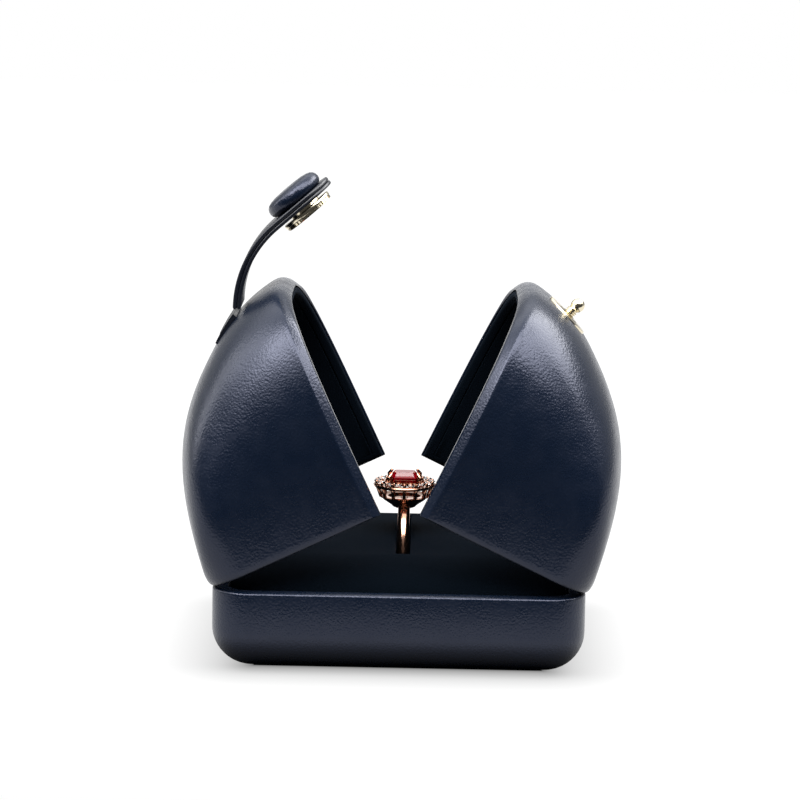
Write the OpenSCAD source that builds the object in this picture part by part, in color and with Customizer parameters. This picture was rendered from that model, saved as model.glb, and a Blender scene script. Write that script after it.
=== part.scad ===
// Ring display box: a shallow base tray with two half-dome lids that swing outwards,
// a snap strap over the top, and a halo ring standing in the slit of a velvet pad.
// Origin: middle of the underside. X runs from lid to lid, Y to the back, Z up.

/* [Box] */
// Width across the closed lids, from hinge side to hinge side
box_w = 65; // [60:0.5:75]
// Depth of the closed lids, front to back
box_d = 61; // [56:0.5:70]
// Radius of the upright corners in plan
corner_r = 7; // [5:0.5:9]
// How far each lid stands open in the rest pose, in degrees
lid_open = 25.5; // [10:0.5:35]

/* [Base] */
// Height of the base, from the sole to the rim
base_h = 14.2; // [12:0.2:18]
// How far the base stands in from the lids on every side
base_inset = 0.5; // [0.2:0.1:1]
// Height and width of the rounding under the base
base_round = 6; // [4:0.25:7]
// Thickness of the base tray wall and floor
tray_t = 1.8; // [1.4:0.1:2.2]
// Thickness of the sole patch
sole_t = 0.5; // [0.3:0.1:1]

/* [Lids] */
// Height of a closed lid above its own rim
lid_h = 40.5; // [36:0.5:46]
// Squareness of the lid's arch, 2 is an ellipse
arch_power = 3.3; // [2.4:0.1:4]
// Gap between the closed lid and the base
rim_gap = 0.8; // [0.6:0.1:1.2]
// Gap between the two closed lids
meet_gap = 0.4; // [0.3:0.1:0.8]
// Thickness of the lid shell
shell_t = 1.8; // [1.4:0.1:2.2]
// Thickness of the velvet liner
liner_t = 1; // [0.6:0.1:1.4]
// Thickness of the leatherette
leather_t = 0.8; // [0.5:0.1:1]
// Radius of the rounded rim edges
edge_r = 1.6; // [1.2:0.1:2]

/* [Pad] */
// Height of the pad's crown above the underside of the box
pad_top = 19.5; // [18:0.25:20]
// Thickness of the card under the pad
board_t = 0.8; // [0.5:0.1:1.2]
// Clearance round the pad
pad_gap = 0.3; // [0.2:0.05:0.5]
// Sideways place of the slit and the ring
slit_x = 0.5; // [-2:0.1:2]
// Length of the slit, front to back
slit_l = 34; // [28:1:40]

/* [Hinges] */
// Length of the hinge barrel
hinge_l = 22; // [18:1:28]
// Diameter of the hinge pin
pin_d = 1; // [0.8:0.1:1.1]
// Outer radius of the barrel
barrel_r = 1; // [0.9:0.05:1.1]
// Thickness of the hinge leaves
leaf_t = 0.6; // [0.5:0.1:0.7]
// Height of a leaf, from the pin
leaf_h = 8; // [6:0.5:9]

/* [Strap] */
// Place of the strap's root, left of the middle
strap_root = 9.8; // [8:0.1:12]
// Place of the snap stud, right of the middle
stud_x = 9.8; // [8:0.1:12]
// Slope of the strap at its root in the rest pose, from the closed lid's rim plane, in degrees
strap_up = 64.5; // [50:0.5:80]
// Bend of the strap between its root and the cap, in degrees
strap_bend = 49; // [40:1:55]
// Width of the strap
strap_w = 12; // [11:0.5:14]
// Thickness of each of the strap's two layers
strap_layer = 0.72; // [0.6:0.02:0.9]
// Length of the strap past the snap
strap_over = 6.4; // [6:0.1:8]
// Diameter of the covered cap
cap_d = 10.8; // [9:0.2:11.5]
// Height of the covered cap
cap_h = 2.9; // [2:0.1:3.5]
// Diameter of the socket disc
socket_d = 9.8; // [8:0.2:11]
// Number of teeth on the milled edge of the socket
socket_teeth = 40; // [24:2:48]

// Length of the strap's tail, glued down the outside of the left lid
tail_l = 5; // [4:0.5:8]
// Thickness of the skived tail where the strap leaves it
tail_t = 0.8; // [0.6:0.05:1.1]
// Thickness of the tail's feathered end
tail_end_t = 0.25; // [0.2:0.05:0.4]

/* [Stud] */
// Diameter of the stud's flange
flange_d = 8.6; // [7:0.2:10]
// Diameter of the ball
ball_d = 2.5; // [2:0.1:3]
// Height of the top of the ball above the leatherette
stud_h = 3.65; // [3:0.05:4.5]

/* [Ring] */
// Inside diameter of the ring
finger_d = 17; // [15:0.5:18]
// Height of the ring's centre
ring_z = 15.6; // [15:0.1:16.5]
// Thickness of the band
band_t = 1.6; // [1.2:0.1:1.8]
// Width of the band
band_w = 2.1; // [1.6:0.1:2.5]
// Diameter of the cluster over the halo stones
halo_d = 11.2; // [9:0.2:12]
// Number of halo stones
halo_n = 14; // [10:1:18]
// Width of the centre stone
stone_w = 5.4; // [4:0.1:6]
// Depth of the centre stone
stone_d = 4.8; // [4:0.1:6]
// Height of the stone's table above the ring's centre
table_h = 14.7; // [14:0.1:16]

/* [Hidden] */

// Colours
leather_c = "#141b28";
velvet_c = "#0d1420";
plastic_c = "#22262e";
steel_c = "#9a9da3";
snap_c = "#d9d2bd";
rose_c = "#c98a6a";
stone_c = "#a20a14";
gem_c = "#f1f1f4";

// Sizes that follow from the driving dimensions
half_w = box_w / 2;
half_d = box_d / 2;
wall = leather_t + shell_t;          // depth of the velvet's outer face inside the skin
base_wall = leather_t + tray_t;
lip = leather_t + 0.05;              // leatherette turned over the rim
fit = 0.05;                          // running clearance of a pin or rivet
glue = 0.25;                         // glue line between curved layers
slack = 0.3;                         // clearance between bodies that move past each other
sole_in = base_round + 1.2;          // the sole's outline inside the base's outline
hem = 2;                             // leatherette turned in under the sole
floor_fillet = 2;                    // bevel between the tray's floor and wall
floor_z = sole_t + leather_t + tray_t;
pad_z = floor_z + board_t;
hinge_x = half_w - edge_r;           // hinge axis, outwards from the middle
hinge_z = base_h + rim_gap / 2;
lid_z = base_h + rim_gap;            // rim plane of the closed lids
strap_t = 2 * strap_layer;
past = 1;                            // how far a cut runs past the face that it opens

// Half-dome lid, built closed: the left lid, with its inner side at x = 0
body_rows = 8;                       // rows from the meeting plane to the hinge side
cover_cols = 20;                     // columns over the arch, from front to back
shell_rows = 6;
shell_cols = 14;

// Half depth of the lid in plan at distance x from the middle, d inside the skin
function plan_y(x, d) =
    let (h = half_d - d, r = max(corner_r - d, 1), e = x - (half_w - d - r))
    e <= 0 ? h : h - r + sqrt(max(0, r * r - e * e));

// Height of the lid's ridge at distance x from the middle, d inside the skin
function ridge_z(x, d) = (lid_h - d) * sqrt(max(0, 1 - pow(x / (half_w - d), 2)));

// Point in column s (-90 to 90 degrees) of the arch that stands at x
function arch_point(x, s, d) =
    let (e = 2 / arch_power, top = max(ridge_z(x, d), edge_r))
    [-x, plan_y(x, d) * sign(s) * pow(abs(sin(s)), e), edge_r + (top - edge_r) * pow(max(cos(s), 0), e)];

// Distance of body row i from the middle
function row_x(i, rows, d) =
    let (first = asin((edge_r + meet_gap / 2) / (half_w - d)), last = acos(edge_r / (lid_h - d)),
         t = first + (last - first) * i / rows)
    (half_w - d) * sin(t);

// Rounded rims follow a ball where two of them meet: p and q run from 0 to 1 at the two rim planes
function ball_p(p, q) = p * sqrt(1 - q * q / 2);
function ball_depth(p, q) =
    edge_r * (1 - sqrt(max(0, 1 - pow(ball_p(p, q), 2) - pow(ball_p(q, p), 2))));

// Point of a lid surface. rim holds [inset, depth] rows from the meeting plane inwards, foot the same from
// the bottom edge of the dome down to the rim plane. round_rim makes the ball-shaped edge.
function lid_point(i, s, k, rim, foot, rows, d, round_rim) =
    let (n = len(rim) - 1, on_rim = i < n, u = on_rim ? rim[i][0] : edge_r, v = foot[k][0],
         p = 1 - u / edge_r, q = 1 - v / edge_r,
         depth = round_rim ? d + ball_depth(p, q) : max(on_rim ? rim[i][1] : d, foot[k][1]),
         x = on_rim ? meet_gap / 2 + (round_rim ? edge_r * (1 - ball_p(p, q)) : u)
                    : row_x(i - n, rows, depth),
         c = arch_point(x, s, depth))
    [c.x, c.y, k == 0 ? c.z : round_rim ? edge_r * (1 - ball_p(q, p)) : v];

// All points of one surface: the dome's rows, then the loop of its bottom edge stepped down to the rim
function lid_surface(rim, foot, rows, cols, d, round_rim) =
    let (last = rows + len(rim) - 1, loop = 2 * last + cols)
    concat(
        [for (i = [0:last]) for (j = [0:cols])
            lid_point(i, -90 + 180 * j / cols, 0, rim, foot, rows, d, round_rim)],
        [for (k = [1:len(foot) - 1]) for (q = [0:loop])
            let (i = q <= last ? q : q >= last + cols ? loop - q : last,
                 j = q <= last ? 0 : q >= last + cols ? cols : q - last)
            lid_point(i, -90 + 180 * j / cols, k, rim, foot, rows, d, round_rim)]);

// Number of a point on the bottom loop, step k down
function loop_id(q, k, last, cols) =
    let (loop = 2 * last + cols)
    k > 0 ? (last + 1) * (cols + 1) + (k - 1) * (loop + 1) + q
    : q <= last ? q * (cols + 1)
    : q >= last + cols ? (loop - q) * (cols + 1) + cols
    : last * (cols + 1) + q - last;

// Closed skin between an outer and an inner lid surface of the same rows and columns
module lid_skin(outer, inner, steps, rows, rim_rows, cols) {
    last = rows + rim_rows;
    loop = 2 * last + cols;
    n = len(outer);
    grid = [for (i = [0:last - 1]) for (j = [0:cols - 1])
        let (a = i * (cols + 1) + j) [a, a + 1, a + cols + 2, a + cols + 1]];
    skirt = [for (k = [0:steps - 1]) for (q = [0:loop - 1])
        [loop_id(q, k, last, cols), loop_id(q + 1, k, last, cols),
         loop_id(q + 1, k + 1, last, cols), loop_id(q, k + 1, last, cols)]];
    sheet = concat(grid, skirt);
    ridge = [for (j = [0:cols - 1]) [j + 1, j]];
    bottom = [for (q = [0:loop - 1])
        [loop_id(q, steps, last, cols), loop_id(q + 1, steps, last, cols)]];
    ends = [for (k = [0:steps - 1]) each [
        [loop_id(0, k, last, cols), loop_id(0, k + 1, last, cols)],
        [loop_id(loop, k + 1, last, cols), loop_id(loop, k, last, cols)]]];
    border = concat([for (e = ridge) [e[1], e[0]]], [for (e = bottom) [e[1], e[0]]],
                    [for (e = ends) [e[1], e[0]]]);
    quads = concat(sheet,
        [for (f = sheet) [f[0] + n, f[3] + n, f[2] + n, f[1] + n]],
        [for (e = border) [e[0], e[0] + n, e[1] + n, e[1]]]);
    tris = [for (f = quads) each [[f[2], f[1], f[0]], [f[3], f[2], f[0]]]];
    polyhedron(concat(outer, inner), tris, convexity = 6);
}

round_steps = [for (i = [0:3]) edge_r * (1 - cos(30 * i))];

module lid_cover_form() {
    rim_out = [for (u = round_steps) [u, 0]];
    foot_out = [for (i = [0:3]) [round_steps[3 - i], 0]];
    rim_in = [[0, wall], [leather_t, wall], [lip, leather_t], [edge_r, leather_t]];
    foot_in = [[edge_r, leather_t], [lip, leather_t], [leather_t, wall], [0, wall]];
    translate([0, 0, lid_z])
        lid_skin(lid_surface(rim_out, foot_out, body_rows, cover_cols, 0, true),
                 lid_surface(rim_in, foot_in, body_rows, cover_cols, leather_t, false),
                 3, body_rows, 3, cover_cols);
}

// Plain skin between two depths, its edges set in by rim_in from the rim planes
module lid_layer(d_out, d_in, rim_in, rows, cols) {
    translate([0, 0, lid_z])
        lid_skin(
            lid_surface([[rim_in, d_out], [edge_r, d_out]], [[edge_r, d_out], [rim_in, d_out]],
                        rows, cols, d_out, false),
            lid_surface([[rim_in, d_in], [edge_r, d_in]], [[edge_r, d_in], [rim_in, d_in]],
                        rows, cols, d_in, false),
            1, rows, 1, cols);
}

// Children drawn on the left side, or mirrored to the right
module at_side(side) {
    if (side < 0) children();
    else mirror([1, 0, 0]) children();
}

// Children drawn as part of the closed left lid, swung to the rest pose on either side
module lid_pose(side) {
    at_side(side) translate([-hinge_x, 0, hinge_z]) rotate([0, -lid_open, 0])
        translate([hinge_x, 0, -hinge_z]) children();
}

// Base outline, inset from the base's side, as a loop of points
corner_steps = 5;
round_n = 4;                         // steps of the rounding under the base
function outline(inset) =
    let (w = half_w - base_inset - inset, d = half_d - base_inset - inset, r = max(corner_r - inset, 0.8))
    [for (c = [0:3]) for (i = [0:corner_steps])
        let (t = 90 * (c + i / corner_steps), sx = c == 0 || c == 3 ? 1 : -1, sy = c < 2 ? 1 : -1)
        [sx * (w - r) + r * cos(t), sy * (d - r) + r * sin(t)]];

// Solid through a stack of loops of [x, y, z] points, all of one length. A ring joins its last loop to its
// first, and anything else is capped at both ends.
module loft(loops, ring = false) {
    m = len(loops[0]);
    n = len(loops);
    last = ring ? n - 1 : n - 2;
    sides = [for (k = [0:last]) for (i = [0:m - 1])
        let (a = k * m, b = ((k + 1) % n) * m, j = (i + 1) % m)
        each [[a + i, b + j, a + j], [a + i, b + i, b + j]]];
    caps = ring ? [] : [[for (i = [0:m - 1]) i], [for (i = [0:m - 1]) (n - 1) * m + m - 1 - i]];
    polyhedron([for (l = loops) each l], concat(sides, caps), convexity = 6);
}

// Loops of the base outline from a list of [inset, z]
function base_loops(profile) =
    [for (p = profile) [for (q = outline(p[0])) [q.x, q.y, p[1]]]];

// Quarter round under the base, about inset c and height h, and the one over its rim, as [inset, z]
function under_round(r, c, h, steps) =
    [for (i = [0:steps]) let (t = 90 * i / steps) [c - r * sin(t), h - r * cos(t)]];
function rim_round(steps) =
    [for (i = [0:steps]) let (t = 90 * i / steps)
        [edge_r * (1 - cos(t)), base_h - edge_r * (1 - sin(t))]];

// Cylinder about the left hinge's axis, from y0 to y1
module barrel(y0, y1, r) {
    translate([-hinge_x, y1, hinge_z]) rotate([90, 0, 0]) cylinder(r = r, h = y1 - y0, $fn = 18);
}

mid_knuckle = hinge_l / 6;           // half length of the lid's knuckle
knuckle_gap = 0.3;
leaf_face = hinge_x - barrel_r;      // inner face of both leaves, from the middle
leaf_clear = barrel_r + 0.4;         // leaves stay this far from the other leaf's knuckles
rivet_y = hinge_l * 0.32;
rivet_drop = leaf_h * 0.62;
rivet_d = 1;
rivet_head = 1.8;
rivet_head_t = 0.25;
rivet_end = 0.6;                     // depth of the rivet's shank in the shell
spring_w = 4;
spring_t = 0.3;

// Pocket that a leaf and the barrel need in the wall: dir is -1 for the base and 1 for the lid
module leaf_pocket(dir, open) {
    z0 = dir < 0 ? hinge_z - leaf_h - fit : hinge_z - rim_gap;
    translate([-leaf_face - leaf_t - fit, -hinge_l / 2 - fit, z0])
        cube([leaf_t + fit + open, hinge_l + 2 * fit, leaf_h + rim_gap + fit]);
    barrel(-hinge_l / 2 - slack, hinge_l / 2 + slack, barrel_r + slack);
}

// Rivet with its head flush at distance head_at from the middle, its shank pointing outwards
module rivet(y, z, head_at) {
    translate([-head_at, y, z]) rotate([0, -90, 0]) {
        cylinder(d = rivet_head, h = rivet_head_t, $fn = 8);
        cylinder(d = rivet_d, h = leaf_t + rivet_end + leaf_face - head_at, $fn = 8);
    }
}

module base_rivet_set() {
    for (s = [-1, 1]) rivet(s * rivet_y, hinge_z - rivet_drop, leaf_face);
    rivet(0, hinge_z - rivet_drop, leaf_face - spring_t);
}

module lid_rivet_set() {
    for (s = [-1, 1]) rivet(s * rivet_y, hinge_z + rivet_drop, leaf_face);
}

module hinge_base_leaf(side) {
    gap_y = mid_knuckle + knuckle_gap;
    color(steel_c) at_side(side) difference() {
        union() {
            translate([-leaf_face - leaf_t, -hinge_l / 2, hinge_z - leaf_h])
                cube([leaf_t, hinge_l, leaf_h]);
            barrel(-hinge_l / 2, -gap_y, barrel_r);
            barrel(gap_y, hinge_l / 2, barrel_r);
        }
        barrel(-hinge_l / 2 - 1, hinge_l / 2 + 1, pin_d / 2 + fit / 2);
        translate([-hinge_x - 2, -gap_y, hinge_z - leaf_clear]) cube([4, 2 * gap_y, leaf_clear + 1]);
        base_rivet_set();
    }
}

module hinge_lid_leaf(side) {
    color(steel_c) lid_pose(side) difference() {
        union() {
            translate([-leaf_face - leaf_t, -hinge_l / 2, hinge_z]) cube([leaf_t, hinge_l, leaf_h]);
            barrel(-mid_knuckle, mid_knuckle, barrel_r);
        }
        barrel(-mid_knuckle - 1, mid_knuckle + 1, pin_d / 2 + fit);
        for (s = [-1, 1])
            translate([-hinge_x - 2, s > 0 ? mid_knuckle : -hinge_l / 2 - 1, hinge_z - 1])
                cube([4, hinge_l / 2 + 1 - mid_knuckle, leaf_clear + 1]);
        lid_rivet_set();
    }
}

module hinge_pin(side) {
    color(steel_c) at_side(side) barrel(-hinge_l / 2, hinge_l / 2, pin_d / 2);
}

// Flat steel spring riveted on the base leaf, its tip bearing towards the lid's knuckle
module hinge_spring(side) {
    foot = 0.6;
    color(steel_c) at_side(side) difference() {
        translate([-leaf_face, -spring_w / 2, hinge_z - leaf_h + foot])
            cube([spring_t, spring_w, leaf_h - foot - barrel_r]);
        base_rivet_set();
    }
}

module base_rivets(side) {
    color(steel_c) at_side(side) base_rivet_set();
}

module lid_rivets(side) {
    color(steel_c) lid_pose(side) lid_rivet_set();
}

// Leatherette wrap of the base, turned over the rim and in under the sole
module base_cover() {
    h = sole_t + base_round;
    inside = under_round(base_round - leather_t, base_round, h, round_n);
    profile = concat(
        [[sole_in + hem, sole_t]], under_round(base_round, base_round, h, round_n), rim_round(3),
        [[base_wall, base_h], [base_wall, base_h - leather_t], [leather_t, base_h - lip]],
        [for (k = [round_n:-1:0]) inside[k]],
        [[sole_in + hem, sole_t + leather_t]]);
    color(leather_c) difference() {
        loft(base_loops(profile), ring = true);
        for (s = [-1, 1]) at_side(s) leaf_pocket(-1, base_wall);
    }
}

module base_shell() {
    profile = concat(
        under_round(base_round - leather_t - glue, base_round, sole_t + base_round, round_n),
        [[leather_t + glue, base_h - lip - glue], [base_wall, base_h - lip - glue],
         [base_wall, floor_z + floor_fillet], [base_wall + floor_fillet, floor_z]]);
    color(plastic_c) difference() {
        loft(base_loops(profile));
        for (s = [-1, 1]) at_side(s) {
            leaf_pocket(-1, base_wall);
            base_rivet_set();
        }
    }
}

module base_sole() {
    color(velvet_c) linear_extrude(sole_t) polygon(outline(sole_in));
}

module pad_board() {
    color("#4a4c50") translate([0, 0, floor_z]) linear_extrude(board_t)
        polygon(outline(base_wall + floor_fillet + fit));
}

// Velvet-covered foam, crowned, with the slit that grips the ring
module ring_pad() {
    side = base_wall + pad_gap;
    edge = base_h - 1.5;             // the pad's sides stand upright up to here
    shoulder = 10;                   // inward reach of its rounded shoulder
    crown = 0.5;                     // rise of the crown inside the shoulder
    crown_run = 12;
    foam_grip = 0.25;                // slit's clearance on each side of the band
    rise = pad_top - crown - edge;
    profile = concat(
        [[side + floor_fillet, pad_z], [side, pad_z + floor_fillet]],
        [for (i = [0:6]) let (t = 15 * i) [side + shoulder * (1 - cos(t)), edge + rise * sin(t)]],
        [for (k = [0.35, 0.7, 1]) [side + shoulder + crown_run * k, pad_top - crown * pow(1 - k, 2)]]);
    slit_w = band_w + 2 * foam_grip;
    slit_floor = ring_z - finger_d / 2 - band_t - slack;
    color(velvet_c) difference() {
        loft(base_loops(profile));
        translate([slit_x - slit_w / 2, -slit_l / 2, slit_floor]) cube([slit_w, slit_l, pad_top]);
    }
}

module lid_cover(side) {
    color(leather_c) lid_pose(side) difference() {
        lid_cover_form();
        leaf_pocket(1, leaf_t + 2);
        if (side > 0) stud_seat();
    }
}

module lid_shell(side) {
    color(plastic_c) lid_pose(side) difference() {
        lid_layer(leather_t + glue, wall, lip + glue, shell_rows, shell_cols);
        leaf_pocket(1, leaf_t + 2);
        lid_rivet_set();
        if (side > 0) stud_seat();
    }
}

module lid_liner(side) {
    color(velvet_c) lid_pose(side) difference() {
        lid_layer(wall + glue, wall + glue + liner_t, slack, shell_rows, shell_cols);
        barrel(-hinge_l / 2 - slack, hinge_l / 2 + slack, barrel_r + slack);
    }
}

// Slope of the ridge at distance x from the middle, and the frame that stands on it
function ridge_tilt(x) = atan(lid_h * x / (half_w * half_w) / sqrt(1 - pow(x / half_w, 2)));
function ridge_point(x, h) =
    let (t = ridge_tilt(x)) [-x - h * sin(t), lid_z + ridge_z(x, 0) + h * cos(t)];

module on_ridge(x) {
    p = ridge_point(x, 0);
    translate([p.x, 0, p.y]) rotate([0, -ridge_tilt(x), 0]) children();
}

// Snap stud on the right lid
flange_sink = 0.3;
flange_t = 0.45;
neck_d = 1.7;
shank_d = 1.8;
washer_d = 3.6;
washer_t = 0.5;

module stud_seat() {
    on_ridge(stud_x) {
        translate([0, 0, -flange_sink]) cylinder(d = flange_d + 2 * fit, h = 2, $fn = 32);
        translate([0, 0, -wall - 1]) cylinder(d = shank_d + 2 * fit, h = wall + 1, $fn = 20);
        translate([0, 0, -wall - 1]) cylinder(d = washer_d + 2 * fit, h = 1 + fit + washer_t, $fn = 20);
    }
}

module stud_flange() {
    color(snap_c) lid_pose(1) on_ridge(stud_x) translate([0, 0, -flange_sink]) difference() {
        cylinder(d = flange_d, h = flange_t, $fn = 32);
        translate([0, 0, -1]) cylinder(d = shank_d + fit, h = 3, $fn = 20);
    }
}

// Ball stud with three turned rings on its neck
module stud() {
    ball_r = ball_d / 2;
    ball_z = stud_h - ball_r;
    ring_r = neck_d / 2 + 0.25;
    start = acos(neck_d / ball_d);
    foot = flange_t - flange_sink;
    ring_step = (ball_z - ball_r * sin(start) - foot) / 3;
    rings = [for (i = [0:2]) let (z = foot + ring_step * i)
        each [[neck_d / 2, z + ring_step * 0.1], [ring_r, z + ring_step * 0.35],
              [ring_r, z + ring_step * 0.65], [neck_d / 2, z + ring_step * 0.9]]];
    ball = [for (i = [0:7]) let (t = -start + (90 + start) * i / 7)
        [ball_r * cos(t), ball_z + ball_r * sin(t)]];
    shank = -wall + fit;
    color(snap_c) lid_pose(1) on_ridge(stud_x) rotate_extrude($fn = 20)
        polygon(concat([[0, shank], [shank_d / 2, shank], [shank_d / 2, foot]], rings, ball));
}

module stud_rivet() {
    color(steel_c) lid_pose(1) on_ridge(stud_x) translate([0, 0, -wall + fit]) difference() {
        cylinder(d = washer_d, h = washer_t, $fn = 20);
        translate([0, 0, -1]) cylinder(d = shank_d + fit, h = 3, $fn = 20);
    }
}

// Strap. Its centre line leaves the root along x, bends down by strap_bend and runs straight under the cap
socket_neck = 0.5;                   // the socket's collar, which stands on the lining
socket_t = 1.3;                      // height of its disc
snap_stack = flange_t - flange_sink + slack + socket_neck + socket_t;
root_h = strap_t / 2 + 0.2;          // the strap turns about a line this far above the leatherette
root_at = ridge_point(strap_root, root_h);
snap_left = ridge_point(stud_x, snap_stack + strap_t / 2);
snap_at = [-snap_left.x, snap_left.y];
flat_run = cap_d / 2;
chord = norm(snap_at - root_at);
arc_chord = sqrt(chord * chord - pow(flat_run * sin(strap_bend / 2), 2)) - flat_run * cos(strap_bend / 2);
strap_r = arc_chord / (2 * sin(strap_bend / 2));

// Children in the strap's own frame, in the rest pose
module strap_pose() {
    lid_pose(-1) translate([root_at.x, 0, root_at.y]) rotate([0, -strap_up, 0]) children();
}

// Children at the snap's centre, z away from the lid
module at_snap() {
    translate([0, 0, -strap_r]) rotate([0, strap_bend, 0]) translate([flat_run, 0, strap_r]) children();
}

post_r = ball_d / 2 + 0.35;          // bore that the ball goes into
post_t = 0.35;
post_sink = 0.75;                    // reach of the eyelet into the cap
roll_d = strap_t - 0.24;             // rounded fold at the root
spring_d = 0.4;                      // wire of the ring spring in the socket
groove_z = 0.4;
groove_r = post_r + 0.75;

module strap_band(lo, hi) {
    difference() {
        union() {
            translate([0, 0, -strap_r]) rotate([90, 0, 0]) rotate([0, 0, 90 - strap_bend])
                rotate_extrude(angle = strap_bend, $fn = 60)
                    translate([strap_r + lo, -strap_w / 2]) square([hi - lo, strap_w]);
            at_snap() translate([-flat_run, -strap_w / 2, lo])
                cube([flat_run + strap_over - strap_w / 2, strap_w, hi - lo]);
            at_snap() translate([strap_over - strap_w / 2, 0, lo])
                cylinder(d = strap_w, h = hi - lo, $fn = 48);
        }
        at_snap() translate([0, 0, -5]) cylinder(r = post_r + post_t + fit, h = 10, $fn = 20);
    }
}

module root_roll(d, w) {
    rotate([90, 0, 0]) cylinder(d = d, h = w, center = true, $fn = 20);
}

module strap_outer() {
    color(leather_c) strap_pose() {
        strap_band(0, strap_layer);
        root_roll(roll_d, strap_w - 0.4);
    }
}

module strap_lining() {
    color(leather_c) strap_pose() difference() {
        strap_band(-strap_layer, -fit / 2);
        root_roll(roll_d + 2 * fit, strap_w + 2 * past);
    }
}

// Tail of the strap, skived thin and glued down the outside of the left lid
module strap_anchor() {
    gap = strap_t / 2 + slack;
    steps = 8;
    over = [for (i = [0:steps]) ridge_point(strap_root + gap + tail_l * i / steps,
                                            tail_t + (tail_end_t - tail_t) * i / steps)];
    under = [for (i = [steps:-1:0]) ridge_point(strap_root + gap + tail_l * i / steps, fit / 2)];
    color(leather_c) lid_pose(-1) translate([0, strap_w / 2, 0]) rotate([90, 0, 0])
        linear_extrude(strap_w) polygon(concat(over, under));
}

// Half profile of a button of radius r and height h: an undercut foot, a round edge and a low dome
button_edge = 0.42;                  // radius of its round edge, as a share of its height
button_foot = 75;                    // how far the edge turns under, in degrees
function button(r, h) =
    let (b = h * button_edge, f = button_foot, n = 6, m = 3, top = b * (1 + sin(f)))
    concat([[0, 0]],
           [for (i = [0:n]) let (t = (90 + f) * i / n - f) [r - b + b * cos(t), b * (sin(f) + sin(t))]],
           [for (i = [1:m]) let (k = 1 - i / m) [(r - b) * k, top + (h - top) * (1 - k * k)]]);

module snap_cap_cover() {
    skin = 0.7;
    color(leather_c) strap_pose() at_snap() translate([0, 0, strap_layer]) difference() {
        rotate_extrude($fn = 32) polygon(button(cap_d / 2, cap_h));
        translate([0, 0, -0.01]) rotate_extrude($fn = 32) polygon(button(cap_d / 2 - skin, cap_h - skin));
    }
}

module snap_cap() {
    inset = 0.75;
    color(steel_c) strap_pose() at_snap() translate([0, 0, strap_layer]) difference() {
        rotate_extrude($fn = 20) polygon(button(cap_d / 2 - inset, cap_h - inset));
        translate([0, 0, -1]) cylinder(r = post_r + post_t + fit, h = post_sink + 1 + fit, $fn = 20);
    }
}

// Eyelet through both layers of the strap
module snap_post() {
    color(snap_c) strap_pose() at_snap() translate([0, 0, -strap_layer - socket_neck]) difference() {
        cylinder(r = post_r + post_t, h = strap_t + socket_neck + post_sink, $fn = 20);
        translate([0, 0, -1]) cylinder(r = post_r, h = strap_t + socket_neck + 3, $fn = 20);
    }
}

module snap_socket() {
    rim_r = socket_d / 2;
    mill_r = rim_r - 0.15;
    notch = 0.3;
    plate = 0.7;
    mouth = 0.35;
    color(snap_c) strap_pose() at_snap() translate([0, 0, -strap_layer - socket_neck - socket_t])
        difference() {
            union() {
                translate([0, 0, socket_t - plate]) cylinder(r = rim_r, h = plate, $fn = 40);
                linear_extrude(socket_t - plate) difference() {
                    circle(r = mill_r, $fn = socket_teeth);
                    for (i = [0:socket_teeth - 1]) rotate(360 * (i + 0.5) / socket_teeth)
                        translate([mill_r - notch, -notch / 2]) square([1, notch]);
                }
                translate([0, 0, socket_t]) difference() {
                    cylinder(r = rim_r * 0.6, h = socket_neck, $fn = 24);
                    translate([0, 0, -1]) cylinder(r = post_r + post_t + fit, h = 3, $fn = 20);
                }
            }
            translate([0, 0, -1]) cylinder(r = post_r, h = socket_t + 2, $fn = 20);
            translate([0, 0, -mouth]) cylinder(r1 = post_r + 2 * mouth, r2 = post_r, h = 2 * mouth, $fn = 20);
            translate([0, 0, groove_z]) cylinder(r = groove_r, h = spring_d + 2 * fit, $fn = 20);
        }
}

// Round wire ring in the socket's groove, which grips the ball
module snap_spring() {
    color(steel_c) strap_pose() at_snap()
        translate([0, 0, -strap_layer - socket_neck - socket_t + groove_z + fit + spring_d / 2])
            rotate_extrude($fn = 24) translate([groove_r - fit - spring_d / 2, 0])
                circle(d = spring_d, $fn = 8);
}

// Ring
gem_gap = 0.1;                       // between two halo stones, and outside them
cup_z = finger_d / 2 + 0.15;         // foot of the cluster above the ring's centre
cup_foot = 2.2;
cup_r = 3.9;
cup_h = 1.3;
head_drop = 2.7;                     // halo's rail to the stone's table
rail_z = table_h - head_drop;
rail_t = 0.5;
halo_edge = 0.8;                     // half width of the rail under the halo stones
halo_r = halo_d / 2 - halo_edge - gem_gap;
gem_h = 0.65;
bar_d = 0.6;
post_d = 0.5;                        // bead prong between two halo stones
foot_ring_w = 1;
foot_ring_t = 0.35;

module at_ring() {
    translate([slit_x, 0, ring_z]) children();
}

module ring_band() {
    inner = finger_d / 2;
    cheek = inner + band_t * 0.55;
    d_profile = concat([[inner, -band_w / 2]],
        [for (i = [-2:2]) [cheek + band_t * 0.45 * cos(45 * i), band_w / 2 * sin(45 * i)]],
        [[inner, band_w / 2]]);
    color(rose_c) at_ring() difference() {
        union() {
            rotate([0, 90, 0]) rotate_extrude($fn = 48) polygon(d_profile);
            translate([0, 0, cup_z]) cylinder(r1 = cup_foot, r2 = cup_r, h = cup_h, $fn = 24);
        }
        rotate([0, 90, 0]) cylinder(d = finger_d, h = 2 * cup_r + 2 * past, center = true, $fn = 48);
    }
}

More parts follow.
